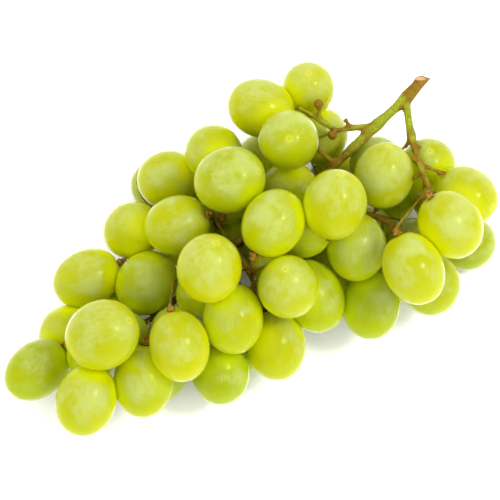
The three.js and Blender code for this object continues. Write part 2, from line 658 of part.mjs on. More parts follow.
/** A rod of changing width along a smooth line through the points, closed at both ends. */
function rodSolid(points, widths, sides) {
  const line = new THREE.CatmullRomCurve3(points, false, "centripetal");
  const steps = points.length - 1;
  const rings = widths.map((width, step) => new THREE.Vector2(width / 2, step));
  const profile = [new THREE.Vector2(0, 0), ...rings, new THREE.Vector2(0, steps)];
  const geometry = new THREE.LatheGeometry(profile, sides);
  const normal = new THREE.Vector3(0.3, 0.5, 0.8);
  const frames = [];
  for (let step = 0; step <= steps; step++) {
    const tangent = line.getTangent(step / steps);
    normal.addScaledVector(tangent, -normal.dot(tangent)).normalize();
    const side = new THREE.Vector3().crossVectors(tangent, normal);
    frames.push({ at: line.getPoint(step / steps), normal: normal.clone(), side });
  }
  const position = geometry.attributes.position;
  for (let i = 0; i < position.count; i++) {
    const { at, normal: first, side } = frames[Math.round(position.getY(i))];
    const corner = at.clone().addScaledVector(first, position.getZ(i));
    corner.addScaledVector(side, position.getX(i));
    position.setXYZ(i, corner.x, corner.y, corner.z);
  }
  return solidOf(geometry);
}

/** A dried bud: a small faceted ball. */
function budSolid([right, up, out, width]) {
  const geometry = new THREE.IcosahedronGeometry(width / 2, 1);
  geometry.translate(...seen(right, up, out).toArray());
  return solidOf(geometry);
}

/** The largest of a solid's separate bodies. */
function mainBody(solid) {
  const bodies = solid.decompose();
  return bodies.reduce((most, body) => (body.volume() > most.volume() ? body : most));
}

/** A solid as a named mesh. */
function meshOf(name, solid, material) {
  const { vertProperties, triVerts } = solid.getMesh();
  const geometry = new THREE.BufferGeometry();
  geometry.setAttribute("position", new THREE.BufferAttribute(vertProperties, 3));
  geometry.setIndex(new THREE.BufferAttribute(triVerts, 1));
  geometry.computeVertexNormals();
  const mesh = new THREE.Mesh(geometry, material);
  mesh.name = name;
  return mesh;
}

const tableTop = new THREE.BoxGeometry(400, 400, 40);
tableTop.translate(0, 0, -20);
const below = solidOf(tableTop);

const bunch = new THREE.Group();
const grown = berries.map((berry) => berrySolid(berry, GAP));

Object.keys(SPRAYS).forEach((spray, turn) => {
  const members = berries.filter((berry) => berry.spray === spray);
  const earlier = Object.keys(SPRAYS).slice(0, turn);
  let solid = wasm.Manifold.union(members.map((berry) => berrySolid(berry, 0)));
  berries.forEach((berry, i) => {
    const near = members.some((member) => overlap(member, berry) > -2 * GAP);
    if (earlier.includes(berry.spray) && near) solid = solid.subtract(grown[i]);
  });
  const skin = new THREE.MeshStandardMaterial({ color: BERRY_COLOR, roughness: 0.38, metalness: 0 });
  bunch.add(meshOf(spray, mainBody(solid.subtract(below)), skin));
});

const rods = stemLines.map(({ points, widths }, i) => (
  rodSolid(points, widths, i ? BRANCH_SIDES : MAIN_SIDES)));
for (const berry of berries) {
  const { points, widths } = stalkOf(berry);
  rods.push(rodSolid(points, widths, STALK_SIDES));
}
let wood = wasm.Manifold.union([...rods, ...BUDS.map(budSolid)]);
for (const berry of grown) {
  if (wood.intersect(berry).volume() > 0) wood = wood.subtract(berry);
}
const bark = new THREE.MeshStandardMaterial({ color: STEM_COLOR, roughness: 0.7, metalness: 0 });
bunch.add(meshOf("stem", mainBody(wood.subtract(below)), bark));

// the whole bunch, centred over the origin
const box = new THREE.Box3().setFromObject(bunch);
const boxMiddle = box.getCenter(new THREE.Vector3());
for (const { geometry } of bunch.children) geometry.translate(-boxMiddle.x, -boxMiddle.y, -box.min.z);

export default bunch;
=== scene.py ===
import bmesh
import bpy
import math
import numpy as np
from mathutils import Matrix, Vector


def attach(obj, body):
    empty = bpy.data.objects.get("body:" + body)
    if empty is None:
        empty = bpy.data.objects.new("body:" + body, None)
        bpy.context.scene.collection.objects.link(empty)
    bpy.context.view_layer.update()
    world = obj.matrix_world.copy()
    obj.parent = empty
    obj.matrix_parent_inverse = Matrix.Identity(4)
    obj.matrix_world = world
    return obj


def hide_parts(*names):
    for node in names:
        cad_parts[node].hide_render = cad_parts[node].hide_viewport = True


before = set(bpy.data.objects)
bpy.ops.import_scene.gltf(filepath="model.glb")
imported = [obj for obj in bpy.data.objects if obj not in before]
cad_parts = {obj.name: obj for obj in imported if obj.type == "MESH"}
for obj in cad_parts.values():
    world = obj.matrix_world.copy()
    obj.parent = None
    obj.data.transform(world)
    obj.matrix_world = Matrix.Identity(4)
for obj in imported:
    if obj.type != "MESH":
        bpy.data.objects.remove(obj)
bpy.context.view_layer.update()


# ---- Places of the berries ------------------------------------------------------------------
# Each spray of the frame is a pressed-together cluster of plain faceted eggs. Parted at the
# creases between them, every egg gives its berry's middle, its axis and its size, and the stem
# shows which end of the berry hangs on a stalk.
SPRAYS = [name for name in sorted(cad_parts) if name.startswith("berries_")]
EGG_SWELL = 1.04  # how far an egg's corners stand proud of the berry's skin
WELD = 2e-6
CREASE = 0.03  # radians by which a crease between two eggs folds in, at least
THINNEST = 2e-5  # height of the slimmest triangle that can tell a crease from a ridge
FEWEST_CORNERS = 12
GROUND = 1e-5  # height up to which a corner lies on the ground, pressed flat
ROUGH_REACH = 0.01  # about half the width of a berry
FIT_ROUNDS = 30
FIT_SHARE = 0.75  # of the corners that the fit keeps to, in place of those of dents and flats


def welded(node):
    solid = bmesh.new()
    solid.from_mesh(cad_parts[node].data)
    bmesh.ops.remove_doubles(solid, verts=solid.verts, dist=WELD)
    return solid


def egg_corners(solid):
    """The corners of each egg that belong to no other, off the ground."""
    sound = set()
    for face in solid.faces:
        longest = max(edge.calc_length() for edge in face.edges)
        if 2 * face.calc_area() > THINNEST * longest:
            sound.add(face)
    skins = []
    while sound:
        skin, fresh = set(), [sound.pop()]
        while fresh:
            face = fresh.pop()
            skin.add(face)
            for edge in face.edges:
                if edge.calc_face_angle_signed(0) < -CREASE:
                    continue
                for mate in edge.link_faces:
                    if mate in sound:
                        sound.remove(mate)
                        fresh.append(mate)
        skins.append(skin)
    owners = {}
    for number, skin in enumerate(skins):
        for face in skin:
            for corner in face.verts:
                owners.setdefault(corner, set()).add(number)
    for number in range(len(skins)):
        own = [corner.co for corner, names in owners.items()
               if names == {number} and corner.co.z > GROUND]
        if len(own) >= FEWEST_CORNERS:
            yield np.array([tuple(place) for place in own])


def egg_of(corners):
    """Middle, axis, half width and half length of the egg whose skin most of the corners lie on."""
    about, reach = corners.mean(0), ROUGH_REACH
    x, y, z = ((corners - about) / reach).T
    terms = np.column_stack([x * x, y * y, z * z, 2 * x * y, 2 * y * z, 2 * x * z, x, y, z])
    near = np.ones(len(corners), bool)
    for _ in range(FIT_ROUNDS):
        fit = np.linalg.lstsq(terms[near], np.ones(near.sum()), rcond=None)[0]
        miss = np.abs(terms @ fit - 1)
        near = miss <= np.quantile(miss, FIT_SHARE)
    xx, yy, zz, xy, yz, xz = fit[:6]
    square = np.array([[xx, xy, xz], [xy, yy, yz], [xz, yz, zz]])
    middle = -0.5 * np.linalg.solve(square, fit[6:])
    flat, turns = np.linalg.eigh(square / (1 + middle @ square @ middle))
    length, *widths = reach / np.sqrt(flat)
    return about + reach * middle, turns[:, 0], sum(widths) / 2, length


stem_solid = welded("stem")
stem_corners = np.array([tuple(corner.co) for corner in stem_solid.verts])
berries = {}
for spray in SPRAYS:
    solid = welded(spray)
    berries[spray] = []
    for corners in egg_corners(solid):
        middle, axis, half_width, half_length = egg_of(corners)
        half_width, half_length = half_width / EGG_SWELL, half_length / EGG_SWELL
        ends = [middle - side * half_length * axis for side in (1, -1)]
        gaps = [np.linalg.norm(stem_corners - end, axis=1).min() for end in ends]
        if gaps[1] < gaps[0]:
            axis = -axis
        berries[spray].append((middle, axis, half_width, half_length))
    berries[spray].sort(key=lambda berry: berry[0][0])
    solid.free()


# ---- The berries ----------------------------------------------------------------------------
# Plump oval grapes of a thin-skinned white kind, full of clear juice. Each has a shallow dimple
# where its stalk sits and a tiny dry scar at the other end, and a dull wax bloom in patches.
# Their colour also holds painted light: the flesh is painted brighter where berries press together
# and dimmer on open tops, low berries are greener and darker partly as painted shade, and the pale
# bloom is heaped on open, upward-facing skin as a painted reflection of the light overhead.
BERRY_SIDES = 64
BERRY_RINGS = 32
DIMPLE_DEPTH = 0.05  # as a share of the berry's half length
DIMPLE_WIDTH = 0.20  # as shares of its half width, from here
END_WIDTH = 0.20
END_FLATNESS = 0.018
UNEVENNESS = 0.0007
UNEVEN_SCALE = 45.0
SKIN_SEED = 337
SEED_STEP = 10  # from one spray to the next
OPEN_ROOM = 0.008  # from another berry, within which the skin is painted brighter as fill light and has no pale bloom or painted reflection
OPEN_RISE = (0.15, 0.9)  # how far up the skin faces, from where it has no pale bloom to where it has all; heaped on top, the bloom is partly a painted reflection of the light overhead
RIPE_AND_SHADE_HEIGHTS = (0.008, 0.062)  # from the greener, darker berries below to the riper ones on top; the low green is partly painted shade
CLOUD_SCALE = 90.0  # of the patches of bloom and of riper flesh
MOTTLE_SCALE = 420.0
VEIN_SCALE = 2.4
VEINS_AROUND = 5.0
VEINS_ALONG = 1.2
SPECK_SCALE = 330.0
FLESH = ((0.25, 0.315, 0.001, 1), (0.353, 0.375, 0.0001, 1))  # greener and riper
# The pale bloom: partly real wax, partly a painted reflection of the light overhead.
BLOOM_AND_REFLECTION = (0.325, 0.367, 0.115, 1)
SCAR = (0.22, 0.13, 0.02, 1)
SCAR_HALO = (0.52, 0.50, 0.03, 1)
DIMPLE_RIM = (0.30, 0.36, 0.03, 1)
SPECK = (0.24, 0.15, 0.02, 1)
GLOSS_TINT = (0.9, 1.0, 0.3, 1)
FUZZ_TINT = (0.75, 0.80, 0.02, 1)
JUICE_REACH = 0.02
JUICE_TINT = (1.0, 0.9, 0.12)  # how far red, green and blue light go in the juice, as shares


class Wire:
    """A socket of a node tree. Arithmetic on it adds Math nodes to that tree."""

    def __init__(self, socket):
        self.socket = socket

    def math(self, operation, *values):
        node = self.socket.id_data.nodes.new("ShaderNodeMath")
        node.operation = operation
        for slot, value in zip(node.inputs, values):
            plug(slot, value)
        return Wire(node.outputs[0])

    def __add__(self, other):
        return self.math("ADD", self, other)

    def __radd__(self, other):
        return self.math("ADD", other, self)

    def __sub__(self, other):
        return self.math("SUBTRACT", self, other)

    def __rsub__(self, other):
        return self.math("SUBTRACT", other, self)

    def __mul__(self, other):
        return self.math("MULTIPLY", self, other)

    def __rmul__(self, other):
        return self.math("MULTIPLY", other, self)

    def __truediv__(self, other):
        return self.math("DIVIDE", self, other)

    def __neg__(self):
        return self.math("MULTIPLY", self, -1.0)

    def __pow__(self, other):
        return self.math("POWER", self, other)

    def exp(self):
        return self.math("EXPONENT", self)

    def over(self, low, high):
        """0 below low, 1 above high, smooth between them; high may be the lower one."""
        tree = Tree(self.socket.id_data)
        sockets = {"Value": self, "From Min": low, "From Max": high}
        return tree.node("ShaderNodeMapRange", {"interpolation_type": "SMOOTHSTEP"}, sockets)

    def output(self, name):
        return Wire(self.socket.node.outputs[name])


def plug(slot, value):
    if isinstance(value, Wire):
        slot.id_data.links.new(value.socket, slot)
    else:
        slot.default_value = value


class Tree:
    """A node tree that is written as expressions."""

    def __init__(self, tree):
        self.tree = tree

    def node(self, kind, settings=None, sockets=None, output=0):
        """A node of a kind with its settings made first, then its sockets' values or links."""
        node = self.tree.nodes.new(kind)
        for name, value in (settings or {}).items():
            setattr(node, name, value)
        for name, value in (sockets or {}).items():
            plug(node.inputs[name], value)
        return Wire(node.outputs[output]) if len(node.outputs) else node

    def blend(self, low, high, mask):
        """One colour to another where the mask is 1."""
        sockets = {0: mask, 6: low, 7: high}  # the sockets of a Mix node that are for colours
        return self.node("ShaderNodeMix", {"data_type": "RGBA"}, sockets, 2)


def new_modifier_tree(name, sizes):
    """A Geometry Nodes tree with a Geometry input, its named sizes, and a Geometry output."""
    group = bpy.data.node_groups.new(name, "GeometryNodeTree")
    face = group.interface
    face.new_socket("Geometry", in_out="INPUT", socket_type="NodeSocketGeometry")
    for label, kind in sizes:
        face.new_socket(label, in_out="INPUT", socket_type="NodeSocket" + kind)
    face.new_socket("Geometry", in_out="OUTPUT", socket_type="NodeSocketGeometry")
    return Tree(group), Tree(group).node("NodeGroupInput")


def placed(name, data):
    """An object of its own in the scene."""
    thing = bpy.data.objects.new(name, data)
    bpy.context.scene.collection.objects.link(thing)
    return thing


def note(mesh, name, values):
    """Keeps a number or a vector for each corner of a mesh, under a name."""
    kind = "FLOAT" if values.ndim == 1 else "FLOAT_VECTOR"
    field = "value" if values.ndim == 1 else "vector"
    mesh.attributes.new(name, kind, "POINT").data.foreach_set(field, values.astype(np.float32).ravel())


def points_at(places, **notes):
    """Bare points with their notes, for a tree to grow things on."""
    mesh = bpy.data.meshes.new("points")
    mesh.from_pydata([tuple(place) for place in places], [], [])
    for name, values in notes.items():
        note(mesh, name, np.array(values))
    return placed("points", mesh)


def grown(name, base, tree, values):
    """A plain mesh object grown from a base object by a Geometry Nodes tree."""
    modifier = base.modifiers.new("growth", "NODES")
    modifier.node_group = tree.tree
    for item in tree.tree.interface.items_tree:
        if item.in_out == "INPUT" and item.name in values:
            modifier[item.identifier] = values[item.name]
    evaluated = base.evaluated_get(bpy.context.evaluated_depsgraph_get())
    mesh = bpy.data.meshes.new_from_object(evaluated)
    base.modifiers.remove(modifier)
    bpy.data.objects.remove(base)
    mesh.name = name
    return placed(name, mesh)


def berry_tree():
    """Sets one oval berry on every point, along the point's axis and in its size."""
    tree, given = new_modifier_tree("grape berries", [
        ("Sides", "Int"), ("Rings", "Int"), ("Dimple Depth", "Float"), ("Dimple Width", "Float"),
        ("Unevenness", "Float"), ("Uneven Scale", "Float"), ("Seed", "Int"), ("Skin", "Material")])
    ball = tree.node("GeometryNodeMeshUVSphere", {}, {
        "Segments": given.output("Sides"), "Rings": given.output("Rings"), "Radius": 1.0})
    place = tree.node("GeometryNodeInputPosition")
    ball = tree.node("GeometryNodeStoreNamedAttribute", {"data_type": "FLOAT_VECTOR"}, {
        "Geometry": ball, "Name": "on_berry", "Value": place})
    apart = tree.node("ShaderNodeSeparateXYZ", {}, {0: place})
    x, y, z = apart, apart.output("Y"), apart.output("Z")
    off_axis = x * x + y * y
    spread = given.output("Dimple Width")
    stem_end = z.over(0.2, -0.2)
    dimple = (-off_axis / (spread * spread)).exp() * given.output("Dimple Depth") * stem_end
    flat_end = (-off_axis / END_WIDTH ** 2).exp() * END_FLATNESS * (1 - stem_end)
    shift = tree.node("ShaderNodeCombineXYZ", {}, {"Z": dimple - flat_end})
    ball = tree.node("GeometryNodeSetPosition", {}, {"Geometry": ball, "Offset": shift})
    axis = tree.node("GeometryNodeInputNamedAttribute", {"data_type": "FLOAT_VECTOR"}, {"Name": "axis"})
    size = tree.node("GeometryNodeInputNamedAttribute", {"data_type": "FLOAT_VECTOR"}, {"Name": "size"})
    turn = tree.node("FunctionNodeAlignRotationToVector", {"axis": "Z"}, {"Vector": axis})
    spin = tree.node("FunctionNodeRandomValue", {"data_type": "FLOAT"}, {
        2: 0.0, 3: 2 * math.pi, "Seed": given.output("Seed")}, 1)
    around = tree.node("FunctionNodeAxisAngleToRotation", {}, {"Axis": (0, 0, 1), "Angle": spin})
    turn = tree.node("FunctionNodeRotateRotation", {"rotation_space": "LOCAL"}, {
        "Rotation": turn, "Rotate By": around})
    tone = tree.node("FunctionNodeRandomValue", {"data_type": "FLOAT"}, {
        2: 0.0, 3: 1.0, "Seed": given.output("Seed") + 1}, 1)
    points = tree.node("GeometryNodeStoreNamedAttribute", {"data_type": "FLOAT"}, {
        "Geometry": given.output("Geometry"), "Name": "tone", "Value": tone})
    each = tree.node("GeometryNodeInstanceOnPoints", {}, {
        "Points": points, "Instance": ball, "Rotation": turn, "Scale": size})
    bunch = tree.node("GeometryNodeRealizeInstances", {}, {"Geometry": each})
    here = tree.node("GeometryNodeInputPosition")
    swell = tree.node("ShaderNodeTexNoise", {"noise_dimensions": "3D"}, {
        "Vector": here, "Scale": given.output("Uneven Scale"), "Detail": 1.0})
    swell = (swell - 0.5) * given.output("Unevenness")
    out = tree.node("ShaderNodeVectorMath", {"operation": "SCALE"}, {
        0: tree.node("GeometryNodeInputNormal"), "Scale": swell})
    bunch = tree.node("GeometryNodeSetPosition", {}, {"Geometry": bunch, "Offset": out})
    apart = tree.node("ShaderNodeSeparateXYZ", {}, {0: tree.node("GeometryNodeInputPosition")})
    height = apart.output("Z")
    laid = tree.node("ShaderNodeCombineXYZ", {}, {
        "X": apart, "Y": apart.output("Y"), "Z": height.math("MAXIMUM", height, 0.0)})
    bunch = tree.node("GeometryNodeSetPosition", {}, {"Geometry": bunch, "Position": laid})
    bunch = tree.node("GeometryNodeSetShadeSmooth", {}, {"Geometry": bunch})
    bunch = tree.node("GeometryNodeSetMaterial", {}, {
        "Geometry": bunch, "Material": given.output("Skin")})
    tree.node("NodeGroupOutput", {}, {"Geometry": bunch})
    return tree


def note_openness(mesh, own):
    """Notes how free of others the berries' skin is, and how open and upward-facing it is, for the
    painted light and painted reflection laid on the skin.
    """
    places = np.empty(len(mesh.vertices) * 3)
    mesh.vertices.foreach_get("co", places)
    places = places.reshape(len(own), -1, 3)
    room = np.full(places.shape[:2], OPEN_ROOM)
    for other in [berry for spray in SPRAYS for berry in berries[spray]]:
        middle, axis, half_width, half_length = other
        away = places - middle
        along = away @ axis
        across = np.sqrt(np.maximum((away * away).sum(2) - along * along, 0))
        gap = (np.hypot(across / half_width, along / half_length) - 1) * half_width
        gap[[berry is other for berry in own]] = OPEN_ROOM
        room = np.minimum(room, gap)
    away = places - np.array([middle for middle, *_ in own])[:, None]
    rise = away[..., 2] / np.linalg.norm(away, axis=2)
    upward = ((rise - OPEN_RISE[0]) / (OPEN_RISE[1] - OPEN_RISE[0])).clip(0, 1)
    room = (room / OPEN_ROOM).clip(0, 1)
    note(mesh, "room", room.ravel())
    note(mesh, "open", (room * upward).ravel())


def new_material(name):
    material = bpy.data.materials.new(name)
    material.use_nodes = True
    material.node_tree.nodes.clear()
    return material, Tree(material.node_tree)


def grape_skin():
    """Thin clear skin over pale green flesh, cloudy with bloom, with specks and a dry end scar, and
    with painted light and a painted reflection in its colour.
    """
    material, tree = new_material("grape_skin")
    place = tree.node("ShaderNodeTexCoord", {}, {}, "Object")
    local = tree.node("ShaderNodeAttribute", {"attribute_name": "on_berry"}, {}, "Vector")
    tone = tree.node("ShaderNodeAttribute", {"attribute_name": "tone"}, {}, "Fac")
    clear = tree.node("ShaderNodeAttribute", {"attribute_name": "open"}, {}, "Fac")
    room = tree.node("ShaderNodeAttribute", {"attribute_name": "room"}, {}, "Fac")
    clouds = tree.node("ShaderNodeTexNoise", {}, {
        "Vector": place, "Scale": CLOUD_SCALE, "Detail": 2.0, "Roughness": 0.5, "Distortion": 0.3})
    mottle = tree.node("ShaderNodeTexNoise", {}, {
        "Vector": place, "Scale": MOTTLE_SCALE, "Detail": 2.0, "Roughness": 0.6})
    apart = tree.node("ShaderNodeSeparateXYZ", {}, {0: local})
    x, y, z = apart, apart.output("Y"), apart.output("Z")
    around = y.math("ARCTAN2", y, x)
    strands = tree.node("ShaderNodeCombineXYZ", {}, {
        "X": around * VEINS_AROUND, "Y": z * VEINS_ALONG, "Z": tone * 40.0})
    veins = tree.node("ShaderNodeTexNoise", {}, {
        "Vector": strands, "Scale": VEIN_SCALE, "Detail": 3.0, "Roughness": 0.6})
    height = tree.node("ShaderNodeSeparateXYZ", {}, {0: place}, "Z")
    # Low berries are painted greener and darker, partly as shade low in the bunch.
    ripeness_and_low_shade = 0.35 * clouds + 0.40 * tone + 0.2 * mottle + 0.25 * height.over(*RIPE_AND_SHADE_HEIGHTS)
    flesh = tree.blend(*FLESH, ripeness_and_low_shade.over(0.33, 0.83))
    # Painted light: the flesh is painted brighter where berries press together, standing in for light
    # coming through them, and dimmer on open, upward-facing skin.
    painted_fill_light = 0.93 + 0.65 * (1 - room) * (1 - room) - 0.14 * clear
    flesh = tree.node("ShaderNodeVectorMath", {"operation": "SCALE"}, {0: flesh, "Scale": painted_fill_light})
    # Pale bloom heaped on open, upward-facing skin, partly a painted reflection of the light overhead.
    bloom_patches_and_reflection = (0.55 * clouds + 0.16 * mottle + 0.15 * veins - 0.10 * clear).over(0.43, 0.23)
    bloom_and_reflection = bloom_patches_and_reflection * clear.over(0.0, 0.8)
    waxy = tree.blend(flesh, BLOOM_AND_REFLECTION, bloom_and_reflection * 0.8)
    fleck = tree.node("ShaderNodeTexVoronoi", {}, {"Vector": place, "Scale": SPECK_SCALE})
    rare = tree.node("ShaderNodeSeparateColor", {}, {0: fleck.output("Color")})
    speck = fleck.over(0.14, 0.05) * rare.over(0.86, 0.90)
    from_axis = (x * x + y * y) ** 0.5
    scar = from_axis.over(0.035, 0.02) * z.over(0.5, 0.7)
    halo = from_axis.over(0.20, 0.05) * z.over(0.5, 0.7)
    rim = from_axis.over(0.34, 0.16) * z.over(-0.5, -0.8)
    color = tree.blend(waxy, SCAR_HALO, halo * 0.4)
    color = tree.blend(color, DIMPLE_RIM, rim * 0.5)
    color = tree.blend(color, SPECK, speck * 0.7)
    color = tree.blend(color, SCAR, scar * 0.8)
    rough = 0.28 + 0.06 * bloom_and_reflection + 0.06 * mottle
    bump = tree.node("ShaderNodeBump", {}, {
        "Strength": 0.15, "Distance": 0.0002, "Height": mottle + 0.5 * veins - speck - scar})
    edge = tree.node("ShaderNodeLayerWeight", {}, {"Blend": 0.5}, "Facing")
    surface = tree.node("ShaderNodeBsdfPrincipled", {"subsurface_method": "RANDOM_WALK"}, {
        "Base Color": color, "Roughness": rough, "Normal": bump, "IOR": 1.45,
        "Subsurface Weight": 1.0, "Subsurface Radius": JUICE_TINT,
        "Subsurface Scale": JUICE_REACH, "Specular IOR Level": 0.15, "Specular Tint": GLOSS_TINT,
        "Sheen Weight": 0.1, "Sheen Roughness": 0.6, "Sheen Tint": FUZZ_TINT,
        "Coat Weight": 0.12 + 0.88 * edge.over(0.62, 0.80), "Coat Roughness": 0.13, "Coat IOR": 1.4})
    tree.node("ShaderNodeOutputMaterial", {}, {"Surface": surface})
    return material


skin = grape_skin()
berries_on_points = berry_tree()
for number, spray in enumerate(SPRAYS):
    middles, axes, half_widths, half_lengths = zip(*berries[spray])
    sizes = np.column_stack([half_widths, half_widths, half_lengths])
    base = points_at(middles, axis=axes, size=sizes)
    piece = grown("grapes" + spray[len("berries"):], base, berries_on_points, {
        "Sides": BERRY_SIDES, "Rings": BERRY_RINGS, "Dimple Depth": DIMPLE_DEPTH,
        "Dimple Width": DIMPLE_WIDTH, "Unevenness": UNEVENNESS, "Uneven Scale": UNEVEN_SCALE,
        "Seed": SKIN_SEED + SEED_STEP * number, "Skin": skin})
    note_openness(piece.data, berries[spray])
    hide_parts(spray)
    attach(piece, "root")


# ---- The stem -------------------------------------------------------------------------------
# The rachis: a tough green stalk, brown at its cut end and its knots, that forks into branches
# and twigs. Each twig swells into a warty brown seat for a berry. One growth, so one skin.
STEM_GRAIN = 0.00042  # the size of the faces of the stem's skin
STEM_SMOOTHING = 2
SEAT_SIDES = 14
SEAT_STEPS = 10
SEAT_DEEP = 0.0006  # how far a seat goes into the dimple of its berry
SEAT_TALL = 0.0032
SEAT_THIN = 0.00085  # the twig's half width below the seat
SEAT_SWELL = 0.0011  # how much wider the seat is than the twig
SEAT_MIDDLE = 0.3  # of its height, where the seat is widest
SEAT_SPREAD = 0.3
SEAT_SIZES = (0.85, 1.15)
SEAT_WARTS = 0.0005
WART_SCALE = 900.0
SEAT_REACH = 0.004  # the furthest that a twig's tip can be from its berry's end
SEAT_ROOM = 0.0015  # the least height above the ground that a seat's outer end needs
SEAT_SEED = 3
KNOT_ROUNDS = 12  # of evening out, after which a knot still stands out
BEND_ROUNDS = 30  # more, after which the bark's way along a twig is clear
GRAIN_PULL = 0.93  # how much longer than wide the streaks of the bark are
CUT_END = Vector((0.0648, 0.0663, 0.0488))
KNOTTY = 0.12  # how unevenly the bark faces where it is all knot
KNOT_RISE = 0.00025  # how far a knot stands out from the bark beside it
CUT_WIDTH = 0.0045  # about the width of the stem at its cut end
CUT_FACING = math.radians(45)  # from straight up toward the back, the way the slanting cut faces
CUT_DEEP = 0.0008  # how far below the end's middle the slanting cut goes
PITH_WIDTH = 0.002
CRUST_REACH = 0.0022  # how far from a berry's seat the bark is still crusty
OLD_END = (0.024, 0.008)  # from the cut end, where the bark begins to brown and where it is brown
BROWNER_INSIDE = (0.0445, 0.036)  # the same from the back to the front, in among the berries
PATCH_SCALE = 150.0
STREAK_SCALE = 1000.0
FINE_SCALE = 1300.0
GREEN_BARK = ((0.11, 0.135, 0.001, 1), (0.29, 0.33, 0.01, 1))  # each from dark to pale
BROWN_BARK = ((0.07, 0.028, 0.001, 1), (0.27, 0.13, 0.003, 1))
SEAT_BARK = ((0.08, 0.035, 0.003, 1), (0.38, 0.21, 0.02, 1))
CUT_WOOD = ((0.36, 0.18, 0.06, 1), (0.62, 0.39, 0.17, 1))
SAP_REACH = 0.001
SAP_TINT = (1.0, 0.7, 0.2)


def seat_tree():
    """Sets a swollen, warty end of a twig on every point, along the point's axis."""
    tree, given = new_modifier_tree("stalk seats", [
        ("Sides", "Int"), ("Steps", "Int"), ("Tall", "Float"), ("Thin", "Float"),
        ("Swell", "Float"), ("Warts", "Float"), ("Seed", "Int"), ("Bark", "Material")])
    rod = tree.node("GeometryNodeMeshCylinder", {"fill_type": "NGON"}, {
        "Vertices": given.output("Sides"), "Side Segments": given.output("Steps"),
        "Radius": 1.0, "Depth": given.output("Tall")})
    apart = tree.node("ShaderNodeSeparateXYZ", {}, {0: tree.node("GeometryNodeInputPosition")})
    height = apart.output("Z") / given.output("Tall") + 0.5
    off_middle = height - SEAT_MIDDLE
    swell = (-off_middle * off_middle / SEAT_SPREAD ** 2).exp() * given.output("Swell")
    wide = given.output("Thin") + swell
    shaped = tree.node("ShaderNodeCombineXYZ", {}, {
        "X": apart * wide, "Y": apart.output("Y") * wide, "Z": height * given.output("Tall")})
    rod = tree.node("GeometryNodeSetPosition", {}, {"Geometry": rod, "Position": shaped})
    axis = tree.node("GeometryNodeInputNamedAttribute", {"data_type": "FLOAT_VECTOR"}, {"Name": "axis"})
    turn = tree.node("FunctionNodeAlignRotationToVector", {"axis": "Z"}, {"Vector": axis})
    size = tree.node("FunctionNodeRandomValue", {"data_type": "FLOAT"}, {
        2: SEAT_SIZES[0], 3: SEAT_SIZES[1], "Seed": given.output("Seed")}, 1)
    each = tree.node("GeometryNodeInstanceOnPoints", {}, {
        "Points": given.output("Geometry"), "Instance": rod, "Rotation": turn, "Scale": size})
    seats = tree.node("GeometryNodeRealizeInstances", {}, {"Geometry": each})
    warts = tree.node("ShaderNodeTexNoise", {"noise_dimensions": "3D"}, {
        "Vector": tree.node("GeometryNodeInputPosition"), "Scale": WART_SCALE, "Detail": 1.0})
    out = tree.node("ShaderNodeVectorMath", {"operation": "SCALE"}, {
        0: tree.node("GeometryNodeInputNormal"), "Scale": (warts - 0.4) * given.output("Warts") * 2.0})
    seats = tree.node("GeometryNodeSetPosition", {}, {"Geometry": seats, "Offset": out})
    seats = tree.node("GeometryNodeSetMaterial", {}, {
        "Geometry": seats, "Material": given.output("Bark")})
    tree.node("NodeGroupOutput", {}, {"Geometry": seats})
    return tree


